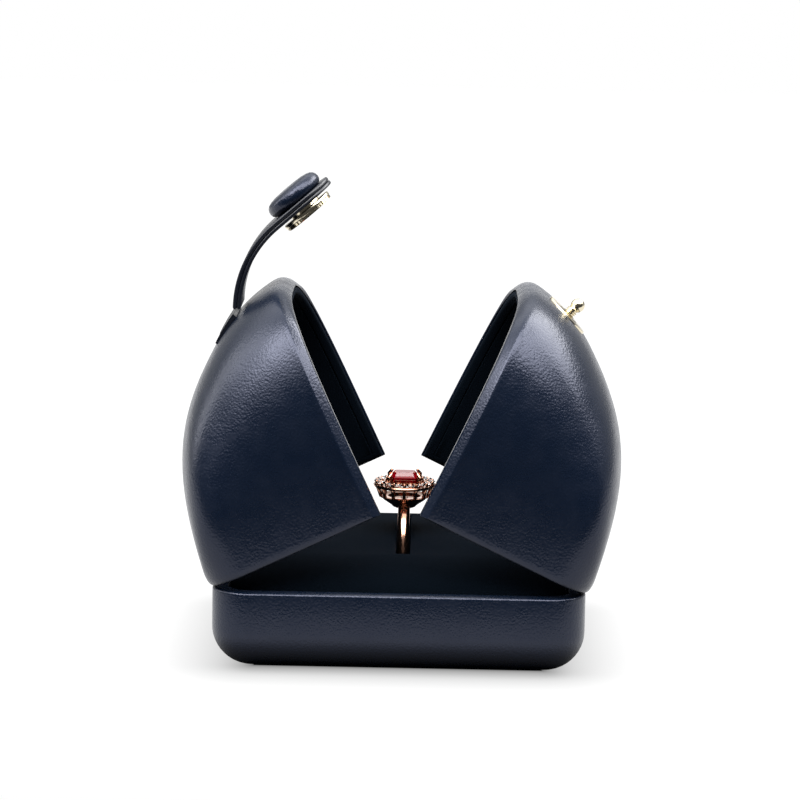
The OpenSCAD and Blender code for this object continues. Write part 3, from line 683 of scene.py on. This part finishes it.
def ridge_point(x, h):
    """Point h over the closed left lid's ridge at distance x from the middle."""
    tilt = math.atan(lid_h * x / half_w**2 / math.sqrt(1 - (x / half_w) ** 2))
    top = lid_z + lid_h * math.sqrt(1 - (x / half_w) ** 2)
    return Vector((-x - h * math.sin(tilt), 0, top + h * math.cos(tilt)))


tail, tail_t, tail_end, tail_cuts, gap = 5.0, 0.8, 0.25, 14, strap_layer + 0.3
# the strap's root and the stud stand this far from the middle of the closed box
fitting_x = 9.8
anchor = block("strap_tail", (0, -strap_w / 2, 0), (tail, strap_w / 2, 1))
edit(anchor)
for i in range(1, tail_cuts):
    bpy.ops.mesh.select_all(action="SELECT")
    bpy.ops.mesh.bisect(plane_co=(tail * i / tail_cuts * mm, 0, 0), plane_no=(1, 0, 0))
bm = bmesh.from_edit_mesh(anchor.data)
for v in bm.verts:
    x, y, z = v.co / mm
    height = 0.025 if z < 0.5 else tail_t + (tail_end - tail_t) * x / tail
    p = ridge_point(fitting_x + gap + x, height)
    v.co = Vector((p.x, y, p.z)) * mm
bmesh.update_edit_mesh(anchor.data)
pick(anchor, "EDGE", lambda e: len(e.link_faces) == 2 and e.calc_face_angle() > 1)
bpy.ops.mesh.bevel(offset=0.08 * mm, segments=2)
finish_mesh(anchor)
move_to(anchor, lid_pose)
anchor.data.materials.append(strap_leather)
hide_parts("strap_anchor")
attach(anchor, "left_lid")


# Snap cap: a pressed steel button covered with a disc of the leatherette gathered under its edge. The cover
# is turned: its profile is drawn point by point and spun.
def turned(name, profile, steps=64):
    """Profile of (radius, height) in mm, spun a full turn about z."""
    bpy.ops.mesh.primitive_plane_add(size=mm)
    piece = bpy.context.object
    piece.name = name
    edit(piece)
    bpy.ops.mesh.select_all(action="SELECT")
    bpy.ops.mesh.merge(type="CENTER")
    bm = bmesh.from_edit_mesh(piece.data)
    for v in bm.verts:
        v.co = Vector((profile[0][0], 0, profile[0][1])) * mm
        v.select_set(True)
    bmesh.update_edit_mesh(piece.data)
    for a, b in zip(profile, profile[1:]):
        bpy.ops.mesh.extrude_vertices_move(
            TRANSFORM_OT_translate={"value": ((b[0] - a[0]) * mm, 0, (b[1] - a[1]) * mm)}
        )
    bpy.ops.mesh.select_all(action="SELECT")
    bpy.ops.mesh.spin(steps=steps, angle=2 * math.pi, center=(0, 0, 0), axis=(0, 0, 1))
    finish_mesh(piece, smooth=40)
    return piece


cap_r, cap_h, skin = 5.4, 2.9, 0.6


def button(r, h):
    """Half profile of a padded button, from its undercut foot over the round edge to the middle."""
    shares = [(0.84, 0), (0.92, 0.07), (0.98, 0.2), (1, 0.38), (0.985, 0.56), (0.94, 0.72)]
    shares += [(0.86, 0.84), (0.74, 0.92), (0.58, 0.97), (0.4, 0.99), (0.2, 1), (0, 1)]
    return [(r * a, h * b) for a, b in shares]


outside = button(cap_r, cap_h)
inside = button(cap_r - skin, cap_h - skin)
cap_cover = turned("covered_button", outside + inside[::-1] + [outside[0]])
move_to(cap_cover, snap_pose @ shift(0, 0, strap_layer))
cap_cover.data.materials.append(leatherette)
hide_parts("snap_cap_cover")
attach(cap_cover, "strap")


# Snap socket: a pressed brass cup, pale gold plated, with a milled edge round its open face and the bore that
# takes the ball. The eyelet through both layers stays as the CAD solid.
# pale gold plate, metal keeps the default IOR
pale_gold = new_material(
    "pale_gold_plate", {"Base Color": linear("#e0d6bd"), "Metallic": 1, "Roughness": 0.16}
)
bore = 1.6
socket = turned(
    "milled_socket",
    [
        (bore, -0.1),
        (bore, 0.35),
        (bore + 0.7, 0.4),
        (bore + 0.7, 0.9),
        (bore, 0.95),
        (bore, 1.3),
        (2.0, 1.3),
        (2.0, 1.8),
        (2.94, 1.8),
        (2.94, 1.3),
        (4.6, 1.3),
        (4.82, 1.24),
        (4.9, 1.1),
        (4.9, 0.72),
        (4.86, 0.62),
        (4.55, 0.6),
        (4.75, 0.6),
        (4.75, 0.12),
        (4.66, 0.02),
        (4.5, 0.0),
        (3.9, 0.0),
        (3.75, 0.12),
        (2.7, 0.12),
        (2.3, 0.0),
        (1.95, 0.0),
        (bore, -0.1),
    ],
    steps=160,
)
edit(socket, "FACE")
teeth = 40


def between_teeth(f):
    """True for a face of the milled edge that lies in a gap between two teeth."""
    c = f.calc_center_median() / mm
    turn = math.degrees(math.atan2(c.y, c.x)) % (360 / teeth)
    return math.hypot(c.x, c.y) > 4.7 and 0.1 < c.z < 0.6 and turn > 180 / teeth


pick(socket, "FACE", between_teeth)
bpy.ops.mesh.extrude_region_shrink_fatten(
    TRANSFORM_OT_shrink_fatten={"value": -0.3 * mm, "use_even_offset": True}
)
finish_mesh(socket, smooth=30)
move_to(socket, snap_pose @ shift(0, 0, -strap_layer - 0.5 - 1.3))
socket.data.materials.append(pale_gold)
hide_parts("snap_socket")
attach(socket, "strap")
refinish("snap_post", pale_gold)


# Stud: turned brass, pale gold plated: a ball head on a neck with three turned rings, riveted through a thin
# flange into the right lid's ridge.
right_pose = Matrix.Scale(-1, 4, (1, 0, 0)) @ lid_pose
# the ridge slopes by this angle at the stud
tilt = math.radians(21.51)
foot = ridge_point(fitting_x, 0)
stud_pose = right_pose @ Matrix.Translation(foot * mm) @ Matrix.Rotation(-tilt, 4, "Y")
ball_r, ball_z, neck_r = 1.25, 2.4, 0.85
profile = [(0, -0.2), (0.9, -0.2), (0.9, 0.15)]
ring_step = 0.36
for i in range(3):
    z = 0.18 + ring_step * i
    profile += [
        (neck_r, z),
        (neck_r, z + 0.08),
        (1.02, z + 0.12),
        (1.1, z + 0.2),
        (1.02, z + 0.28),
        (neck_r, z + 0.32),
    ]
profile += [
    (ball_r * math.cos(math.radians(t)), ball_z + ball_r * math.sin(math.radians(t)))
    for t in range(-46, 91, 8)
]
profile[-1] = (0, ball_z + ball_r)
stud = turned("ball_stud", profile, steps=48)
flange = turned(
    "stud_plate",
    [
        (1, -0.3),
        (4.3, -0.3),
        (4.3, 0.0),
        (4.22, 0.12),
        (4.05, 0.15),
        (2.2, 0.15),
        (1.9, 0.28),
        (1.4, 0.28),
        (1, 0.15),
        (1, -0.3),
    ],
    steps=64,
)
for piece, node in ((stud, "stud"), (flange, "stud_flange")):
    move_to(piece, stud_pose)
    turn_out(piece)
    piece.data.materials.append(pale_gold)
    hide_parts(node)
    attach(piece, "right_lid")


# Ring band: rose gold, a D section bent to a 17 mm circle, standing upright in the pad's slit, with a small
# cup on top that carries the head.
ring_at = shift(0.5, 0, 15.6)
# rose gold, polished, metal keeps the default IOR
rose_gold = new_material(
    "rose_gold", {"Base Color": linear("#d9a58a"), "Metallic": 1, "Roughness": 0.14}
)
inner, band_t, half_band = 8.5, 1.6, 1.05
cheek = inner + band_t * 0.55
d_shape = [(inner + 0.12, -half_band), (inner, -half_band + 0.15), (inner, half_band - 0.15)]
d_shape += [(inner + 0.12, half_band)]
d_shape += [
    (cheek + band_t * 0.45 * math.cos(math.radians(t)), half_band * math.sin(math.radians(t)))
    for t in range(90, -91, -15)
]
d_shape += [d_shape[0]]
band = turned("band", d_shape, steps=120)
move_to(band, Matrix.Rotation(math.radians(90), 4, "Y"))
cup_shape = [(0, 8.3), (2.0, 8.3), (2.2, 8.65), (2.7, 9.0), (3.3, 9.4), (3.8, 9.75)]
cup = turned("cup", cup_shape + [(3.9, 9.95), (0, 9.95)])
bpy.ops.mesh.primitive_cylinder_add(
    vertices=96, radius=inner * mm, depth=20 * mm, rotation=(0, math.pi / 2, 0)
)
cut(cup, bpy.context.object)


def join(pieces, name):
    """Joins pieces into the first one."""
    bpy.ops.object.select_all(action="DESELECT")
    for p in pieces:
        p.select_set(True)
    bpy.context.view_layer.objects.active = pieces[0]
    bpy.ops.object.join()
    pieces[0].name = name
    return pieces[0]


join([band, cup], "band")
bpy.ops.object.shade_smooth_by_angle(angle=math.radians(40))
move_to(band, ring_at)
band.data.materials.append(rose_gold)
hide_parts("ring_band")
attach(band, "ring")


# Ring gallery: a flared basket of fourteen drawn-wire bars between a foot ring and the rail under the halo
# stones, with a bead prong between each two stones, all brazed in rose gold.
halo_n, halo_r, halo_edge, rail_z, rail_t = 14, 4.7, 0.8, 12.0, 0.5
foot_z, foot_r = 9.95, 4.25


def round_copies(piece, count, start=0.0):
    """Copies with their own mesh, turned about the ring's axis."""
    copies = []
    for i in range(count):
        one = piece.copy()
        one.data = piece.data.copy()
        bpy.context.scene.collection.objects.link(one)
        move_to(one, Matrix.Rotation(2 * math.pi * (i + start) / count, 4, "Z"))
        copies.append(one)
    bpy.data.objects.remove(piece)
    return copies


def rod(name, a, b, r1, r2, sides=12):
    """Round bar between two points in mm, its ends softened."""
    a, b = Vector(a), Vector(b)
    bpy.ops.mesh.primitive_cone_add(
        vertices=sides, radius1=r1 * mm, radius2=r2 * mm, depth=(b - a).length * mm
    )
    piece = bpy.context.object
    piece.name = name
    edit(piece)
    pick(piece, "EDGE", lambda e: abs(e.verts[0].co.z - e.verts[1].co.z) < 1e-7)
    bpy.ops.mesh.bevel(offset=min(r1, r2) * 0.35 * mm, segments=2)
    finish_mesh(piece, smooth=50, doubles=0.0001)
    turn = Vector((0, 0, 1)).rotation_difference((b - a).normalized()).to_matrix().to_4x4()
    move_to(piece, Matrix.Translation((a + b) / 2 * mm) @ turn)
    return piece


bars = round_copies(
    rod("bar", (foot_r, 0, foot_z + 0.3), (halo_r + 0.3, 0, rail_z + 0.2), 0.3, 0.26), halo_n, 0.5
)
bead = rod("bead", (halo_r + 0.4, 0, rail_z + 0.2), (halo_r + 0.4, 0, rail_z + 1.2), 0.27, 0.22)
beads = round_copies(bead, halo_n, 0.5)
bead = rod("bead", (halo_r - 0.55, 0, rail_z + 0.2), (halo_r - 0.55, 0, rail_z + 1.15), 0.22, 0.18)
beads += round_copies(bead, halo_n, 0.5)
foot_shape = [(2.9, 0), (3.85, 0.02), (4.4, 0.22), (4.52, 0.42), (4.3, 0.5), (3.8, 0.36)]
foot_shape += [(2.9, 0.35), (2.9, 0)]
foot_ring = turned("foot_ring", [(a, foot_z + b) for a, b in foot_shape])
rail = turned(
    "rail",
    [
        (halo_r - halo_edge, rail_z + 0.08),
        (halo_r - halo_edge + 0.1, rail_z),
        (halo_r + halo_edge - 0.12, rail_z),
        (halo_r + halo_edge, rail_z + 0.15),
        (halo_r + halo_edge, rail_z + rail_t - 0.1),
        (halo_r + halo_edge - 0.1, rail_z + rail_t),
        (halo_r - halo_edge + 0.05, rail_z + rail_t),
        (halo_r - halo_edge, rail_z + rail_t - 0.08),
        (halo_r - halo_edge, rail_z + 0.08),
    ],
)
gallery = join([foot_ring, rail] + bars + beads, "basket")
move_to(gallery, ring_at)
gallery.data.materials.append(rose_gold)
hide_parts("ring_gallery")
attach(gallery, "ring")


# Halo: fourteen round brilliants of about 1.5 mm, clear cubic zirconia, each set between two bead prongs.
gem_r = 0.78
gem = turned(
    "gem", [(0, -0.55), (gem_r, 0.0), (gem_r, 0.06), (gem_r * 0.6, 0.28), (0, 0.28)], steps=8
)
edit(gem)
finish_mesh(gem, smooth=1)
move_to(gem, shift(halo_r, 0, rail_z + rail_t + 0.42))
halo = join(round_copies(gem, halo_n), "halo_stones")
bpy.ops.object.shade_flat()
move_to(halo, ring_at)
# cubic zirconia
clear_stone = new_material(
    "cubic_zirconia",
    {"Base Color": linear("#fbf6f2"), "Roughness": 0.0, "IOR": 2.15, "Transmission Weight": 1},
)
halo.data.materials.append(clear_stone)
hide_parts("ring_halo")
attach(halo, "ring")


# Claws: a rectangular collet and four tapered corner claws in rose gold, their tips bent over the stone.
table_h, seat_z, collet_x, collet_y = 14.7, rail_z + rail_t, 2.6, 2.3
claws = []
for sx in (-1, 1):
    for sy in (-1, 1):
        foot = (sx * collet_x, sy * collet_y, seat_z)
        knee = (sx * 2.72, sy * 2.42, table_h - 0.75)
        tip = (sx * 2.2, sy * 1.95, table_h - 0.02)
        claws.append(rod("claw", foot, knee, 0.38, 0.36))
        claws.append(rod("claw", (sx * 2.78, sy * 2.48, table_h - 0.95), tip, 0.4, 0.24))
collet = block("collet", (-collet_x, -collet_y, seat_z), (collet_x, collet_y, seat_z + 0.5))
edit(collet)
pick(collet, "FACE", lambda f: abs(f.normal.z) > 0.99)
bpy.ops.mesh.inset(thickness=0.5 * mm)
bpy.ops.mesh.bridge_edge_loops()
finish_mesh(collet, smooth=30)
claws = join([collet] + claws, "claws")
move_to(claws, ring_at)
claws.data.materials.append(rose_gold)
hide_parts("ring_claws")
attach(claws, "ring")


# Centre stone: a step-cut red garnet-coloured stone, 5.4 x 4.8 mm, with cut corners and three steps above and
# below its girdle.
stone_x, stone_y, girdle_low, girdle_high = 2.55, 2.25, table_h - 0.95, table_h - 0.85
stone = block("centre_stone", (-stone_x, -stone_y, girdle_low), (stone_x, stone_y, girdle_high))
edit(stone)
pick(stone, "EDGE", is_upright)
bpy.ops.mesh.bevel(offset=0.75 * mm, segments=1)
crown_steps = [(0.3, 0.25), (0.28, 0.28), (0.3, 0.32)]
pavilion_steps = [(0.1, 0.3), (0.6, 0.8), (0.7, 0.6)]
for normal, cuts in ((1, crown_steps), (-1, pavilion_steps)):
    for inward, along in cuts:
        pick(stone, "FACE", lambda f: f.normal.z * normal > 0.99)
        bpy.ops.mesh.inset(thickness=inward * mm)
        bpy.ops.transform.translate(value=(0, 0, along * normal * mm))
finish_mesh(stone, smooth=1)
bpy.ops.object.shade_flat()
move_to(stone, ring_at)
# red garnet
red_stone = new_material(
    "red_stone",
    {
        "Base Color": linear("#8c0210"),
        "Roughness": 0.02,
        "IOR": 1.76,
        "Specular IOR Level": 0.2,
        "Transmission Weight": 0.45,
    },
)
stone.data.materials.append(red_stone)
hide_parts("ring_stone")
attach(stone, "ring")


# Floor: a white seamless table. Camera, glossy and transmission rays see its glow over grey paper. The glow
# fades to nothing at the box's footprint, a painted shadow set by distance from the footprint: a narrow one
# for camera rays, and a wider one for glossy and transmission rays that paints the floor dark in the box's
# reflections. Diffuse rays meet the grey paper alone.
bpy.ops.mesh.primitive_plane_add(size=1)
floor = bpy.context.object
floor.name = "floor"
floor.scale = (3, 1.6, 1)
floor.location = (0, 0.695, 0)
bpy.ops.object.transform_apply(location=True, rotation=True, scale=True)
floor_material = bpy.data.materials.new("white_table")
floor_material.use_nodes = True
tree = floor_material.node_tree
tree.nodes.clear()
rays = add_node(tree, "ShaderNodeLightPath")
seen = add_node(
    tree,
    "ShaderNodeMath",
    {0: rays.outputs["Is Camera Ray"], 1: rays.outputs["Is Glossy Ray"]},
    operation="MAXIMUM",
)
seen_or_through = add_node(
    tree,
    "ShaderNodeMath",
    {0: seen.outputs[0], 1: rays.outputs["Is Transmission Ray"]},
    operation="MAXIMUM",
)
paper = add_node(tree, "ShaderNodeBsdfDiffuse", {"Color": linear("#3a3a3a")})
# half the width and depth of the flat that the box stands on
contact_x, contact_y = 0.0248, 0.0226
spot = add_node(tree, "ShaderNodeTexCoord")
folded = add_node(tree, "ShaderNodeVectorMath", {0: spot.outputs["Object"]}, operation="ABSOLUTE")
past = add_node(
    tree,
    "ShaderNodeVectorMath",
    {0: folded.outputs[0], 1: (contact_x, contact_y, 0)},
    operation="SUBTRACT",
)
beyond = add_node(
    tree, "ShaderNodeVectorMath", {0: past.outputs[0], 1: (0, 0, 0)}, operation="MAXIMUM"
)
away = add_node(tree, "ShaderNodeVectorMath", {0: beyond.outputs[0]}, operation="LENGTH")
# painted shadow seen by camera rays: the glow rises from nothing at the box's footprint to full at 20 mm out
reach = add_node(
    tree,
    "ShaderNodeMapRange",
    {"Value": away.outputs["Value"], "From Min": 0, "From Max": 0.02, "To Min": 0, "To Max": 1},
)
soft = add_node(tree, "ShaderNodeMath", {0: reach.outputs["Result"], 1: 0.36}, operation="POWER")
# wider painted shadow for glossy and transmission rays: no glow within 4 mm of the footprint and full glow
# from 20 mm out, so the box's lower edges reflect painted dark floor
mirrored_glow_past_painted_shadow = add_node(
    tree,
    "ShaderNodeMapRange",
    {
        "Value": away.outputs["Value"],
        "From Min": 0.004,
        "From Max": 0.02,
        "To Min": 0,
        "To Max": 1.05,
    },
    interpolation_type="SMOOTHSTEP",
)
# camera rays get the narrow painted shadow, the other rays the wide one
glow_past_painted_shadow = add_node(
    tree,
    "ShaderNodeMix",
    {0: rays.outputs["Is Camera Ray"], 2: mirrored_glow_past_painted_shadow.outputs["Result"], 3: soft.outputs[0]},
)
glow = add_node(
    tree, "ShaderNodeEmission", {"Color": (1, 1, 1, 1), "Strength": glow_past_painted_shadow.outputs[0]}
)
lit = add_node(tree, "ShaderNodeAddShader", {0: paper.outputs[0], 1: glow.outputs[0]})
mixed = add_node(
    tree,
    "ShaderNodeMixShader",
    {0: seen_or_through.outputs[0], 1: paper.outputs[0], 2: lit.outputs[0]},
)
add_node(tree, "ShaderNodeOutputMaterial", {"Surface": mixed.outputs[0]})
floor.data.materials.append(floor_material)


# Background and light: a white room behind the object, dim towards the camera, as on a white sweep. A soft
# box hangs overhead, a long one stands at the left front, one at the right back and a narrow one at the left.
world = bpy.data.worlds.new("studio")
bpy.context.scene.world = world
world.use_nodes = True
tree = world.node_tree
tree.nodes.clear()
rays = add_node(tree, "ShaderNodeLightPath")
seen = add_node(
    tree,
    "ShaderNodeMath",
    {0: rays.outputs["Is Camera Ray"], 1: rays.outputs["Is Transmission Ray"]},
    operation="MAXIMUM",
)
direction = add_node(tree, "ShaderNodeTexCoord")
axes = add_node(tree, "ShaderNodeSeparateXYZ", {0: direction.outputs["Generated"]})
behind = add_node(
    tree,
    "ShaderNodeMapRange",
    {"Value": axes.outputs["Y"], "From Min": -0.45, "From Max": 0.1, "To Min": 0.07, "To Max": 0.4},
    interpolation_type="SMOOTHSTEP",
)
above = add_node(
    tree,
    "ShaderNodeMapRange",
    {"Value": axes.outputs["Z"], "From Min": 0.35, "From Max": 0.7, "To Min": 1, "To Max": 4.5},
    interpolation_type="SMOOTHSTEP",
)
straight = add_node(
    tree,
    "ShaderNodeMapRange",
    {"Value": axes.outputs["Y"], "From Min": 0.97, "From Max": 0.995, "To Min": 0, "To Max": 1.1},
    interpolation_type="SMOOTHSTEP",
)
level = add_node(
    tree,
    "ShaderNodeMath",
    {0: behind.outputs["Result"], 1: above.outputs["Result"], 2: straight.outputs["Result"]},
    operation="MULTIPLY_ADD",
)
room = add_node(
    tree, "ShaderNodeBackground", {"Color": (1, 1, 1, 1), "Strength": level.outputs[0]}
)
white = add_node(tree, "ShaderNodeBackground", {"Color": (1, 1, 1, 1), "Strength": 1})
sky = add_node(
    tree, "ShaderNodeMixShader", {0: seen.outputs[0], 1: room.outputs[0], 2: white.outputs[0]}
)
add_node(tree, "ShaderNodeOutputWorld", {"Surface": sky.outputs[0]})


def soft_box(name, azimuth, elevation, distance, width, height, radiance):
    """Area light aimed at the object. Azimuth 0 is towards the camera and 90 to the right, in degrees."""
    a, e = math.radians(azimuth), math.radians(elevation)
    way = Vector((math.sin(a) * math.cos(e), -math.cos(a) * math.cos(e), math.sin(e)))
    lamp = bpy.data.lights.new(name, "AREA")
    lamp.shape = "RECTANGLE"
    lamp.size, lamp.size_y = width, height
    lamp.energy = radiance * math.pi * width * height
    holder = bpy.data.objects.new(name, lamp)
    bpy.context.scene.collection.objects.link(holder)
    holder.location = way * distance + Vector((0, 0, 0.03))
    holder.rotation_euler = way.to_track_quat("Z", "Y").to_euler()


soft_box("overhead_soft_box", 0, 66, 0.62, 1.15, 0.4, 8.5)
soft_box("left_front_soft_box", -65, 41, 0.8, 1.05, 0.34, 3.2)
soft_box("right_back_soft_box", 114, 44, 0.8, 0.75, 0.36, 7.3)
soft_box("left_strip_box", -112, 20, 0.8, 0.26, 0.36, 2.4)


# Camera: 147 mm lens on a 36 mm sensor, 0.57 m away, looking 9 degrees down.
eye, focal_px, image_px = (0.0034, -0.5706, 0.1358), 3266, 800
pitch, yaw, roll = math.radians(9.23), math.radians(-0.40), math.radians(1.06)
level_way = math.cos(pitch)
ahead = Vector((math.sin(yaw) * level_way, math.cos(yaw) * level_way, -math.sin(pitch)))
right = ahead.cross(Vector((0, 0, 1))).normalized()
up = right.cross(ahead)
right, up = (
    math.cos(roll) * right + math.sin(roll) * up,
    -math.sin(roll) * right + math.cos(roll) * up,
)
lens = bpy.data.cameras.new("camera")
lens.sensor_width = 36
lens.lens = focal_px * lens.sensor_width / image_px
lens.clip_start = 0.01
camera = bpy.data.objects.new("camera", lens)
bpy.context.scene.collection.objects.link(camera)
camera.matrix_world = Matrix(
    [
        [right.x, up.x, -ahead.x, eye[0]],
        [right.y, up.y, -ahead.y, eye[1]],
        [right.z, up.z, -ahead.z, eye[2]],
        [0, 0, 0, 1],
    ]
)
bpy.context.scene.camera = camera
bpy.context.scene.view_settings.view_transform = "Standard"
